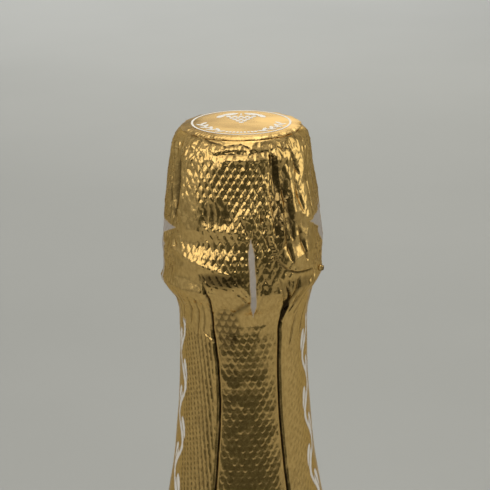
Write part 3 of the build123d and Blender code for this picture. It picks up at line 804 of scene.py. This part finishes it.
# The printed lines: half width and colour
printed_lines = (
    (0.8, (0.46, 0.31, 0.10, 1.0)),
    (0.22, (0.03, 0.08, 0.03, 1.0)),
)
for node, levels in label_rules.items():
    label_paper = finish(
        node + "_paper", (0.78, 0.73, 0.62), (0.84, 0.80, 0.70), 240.0, (0.6, 0.8), relief=0.05
    )
    paper_nodes = label_paper.node_tree.nodes
    paper_links = label_paper.node_tree.links
    apart = paper_nodes.new("ShaderNodeSeparateXYZ")
    paper_links.new(paper_nodes["Texture Coordinate"].outputs["Object"], apart.inputs["Vector"])
    ground = paper_nodes["Color Ramp"].outputs["Color"]
    for half, colour in printed_lines:
        for level in levels:
            near = paper_nodes.new("ShaderNodeMath")
            near.operation = "COMPARE"
            near.inputs[1].default_value = level * MM
            near.inputs[2].default_value = half * MM
            paper_links.new(apart.outputs["Z"], near.inputs[0])
            inked = paper_nodes.new("ShaderNodeMix")
            inked.data_type = "RGBA"
            inked.inputs["B"].default_value = colour
            paper_links.new(near.outputs["Value"], inked.inputs["Factor"])
            paper_links.new(ground, inked.inputs["A"])
            ground = inked.outputs["Result"]
    paper_links.new(ground, paper_nodes["Principled BSDF"].inputs["Base Color"])
    dress(node, label_paper)


# The setting: a plain pale floor, soft lamps above and at both sides, and a dark card behind the camera,
# which a shiny thing needs in front of it to keep its shape.

def stage_sheet(name, corners, material):
    """A flat four-sided sheet of the setting."""
    mesh = bmesh.new()
    mesh.faces.new([mesh.verts.new(corner) for corner in corners])
    sheet = piece_of(name, mesh)
    sheet.data.materials.append(material)
    return sheet


FLOOR_LEVEL = -0.0005
floor_corners = [(x, y, FLOOR_LEVEL) for x, y in ((-2.0, -2.4), (2.0, -2.4), (2.0, 2.8), (-2.0, 2.8))]
floor_finish = finish("pale_floor", (0.425, 0.435, 0.42), (0.445, 0.455, 0.44), 3.0, (0.85, 0.95))
stage_sheet("floor", floor_corners, floor_finish)

CARD_PLACE = -0.62
card_corners = [(x, CARD_PLACE, z) for x, z in ((-0.62, 0.0), (0.82, 0.0), (0.82, 0.44), (-0.62, 0.44))]
card_finish = finish("dark_card", (0.078, 0.085, 0.068), (0.092, 0.10, 0.082), 3.0, (0.85, 0.95))
card = stage_sheet("dark_card", card_corners, card_finish)
card.visible_camera = False
card.visible_diffuse = False
card.visible_shadow = False


def softbox(name, place, aim, size, power, tint):
    """A square soft lamp that looks at a point."""
    lamp = bpy.data.lights.new(name, "AREA")
    lamp.shape = "SQUARE"
    lamp.size = size
    lamp.energy = power
    lamp.color = tint
    holder = bpy.data.objects.new(name, lamp)
    holder.location = place
    holder.rotation_euler = (Vector(aim) - Vector(place)).to_track_quat("-Z", "Y").to_euler()
    bpy.context.scene.collection.objects.link(holder)
    holder.visible_camera = False
    return holder


softbox("front_lamp", (-0.1, -1.0, 0.98), (0, 0, 0.28), 0.95, 4.2, (1.0, 0.97, 0.92))
softbox("top_lamp", (0.1, 0.45, 1.45), (0, 0, 0.28), 1.1, 6.3, (1.0, 0.97, 0.92))
ceiling_lamp = softbox("ceiling_lamp", (0.0, -0.38, 1.5), (0, -0.05, 0.3), 0.8, 2.3, (1.0, 0.97, 0.88))
ceiling_lamp.visible_diffuse = False
softbox("left_lamp", (-0.95, -0.5, 0.7), (0, 0, 0.28), 0.65, 1.9, (1.0, 0.94, 0.85))
softbox("right_lamp", (1.1, -0.12, 0.6), (0, 0, 0.28), 0.75, 2.0, (1.0, 0.97, 0.84))
softbox("back_lamp", (0.3, 1.55, 0.84), (0, 0, 0.3), 0.8, 1.95, (1.0, 0.95, 0.82))
backdrop_lamp = softbox("backdrop_lamp", (-0.12, 2.25, 1.0), (-0.12, 2.3, 0), 1.1, 11.9, (1.0, 0.99, 0.98))
backdrop_lamp.visible_glossy = False

# The room round it: a plain grey wall, and over it lighter and darker soft patches that the foil mirrors
world = bpy.data.worlds.new("room")
bpy.context.scene.world = world
world.use_nodes = True
room_nodes = world.node_tree.nodes
room_links = world.node_tree.links
way = room_nodes.new("ShaderNodeTexCoord")
patches = room_nodes.new("ShaderNodeTexNoise")
patches.inputs["Scale"].default_value = 3.2
patches.inputs["Detail"].default_value = 1.5
room_links.new(way.outputs["Generated"], patches.inputs["Vector"])
walls = room_nodes.new("ShaderNodeValToRGB")
dark_patch, light_patch = walls.color_ramp.elements
dark_patch.position = 0.40
dark_patch.color = (0.16, 0.157, 0.148, 1.0)
light_patch.position = 0.62
light_patch.color = (0.58, 0.57, 0.54, 1.0)
room_links.new(patches.outputs["Fac"], walls.inputs["Fac"])
upward = room_nodes.new("ShaderNodeSeparateXYZ")
room_links.new(way.outputs["Generated"], upward.inputs["Vector"])
rising = room_nodes.new("ShaderNodeMapRange")
rising.inputs["From Min"].default_value = 0.12
rising.inputs["From Max"].default_value = 0.30
room_links.new(upward.outputs["Z"], rising.inputs["Value"])
room = room_nodes.new("ShaderNodeMix")
room.data_type = "RGBA"
room.inputs["A"].default_value = (0.36, 0.365, 0.345, 1.0)
room_links.new(rising.outputs["Result"], room.inputs["Factor"])
room_links.new(walls.outputs["Color"], room.inputs["B"])
room_links.new(room.outputs["Result"], room_nodes["Background"].inputs["Color"])

# The camera: as far off, as high and as tilted as the photograph's, which looks 17.7 degrees down
LOOK_DOWN = 17.7
ROLL = -0.6
lens = bpy.data.cameras.new("camera")
lens.sensor_width = 36.0
lens.lens = 139.3
lens.clip_start = 0.01
camera = bpy.data.objects.new("camera", lens)
camera.location = (0.0006, -0.43663, 0.43187)
camera.rotation_mode = "XYZ"
tilt = Matrix.Rotation(math.radians(90.0 - LOOK_DOWN), 4, "X") @ Matrix.Rotation(math.radians(ROLL), 4, "Z")
camera.rotation_euler = tilt.to_euler()
bpy.context.scene.collection.objects.link(camera)
bpy.context.scene.camera = camera
bpy.context.scene.view_settings.view_transform = "Standard"
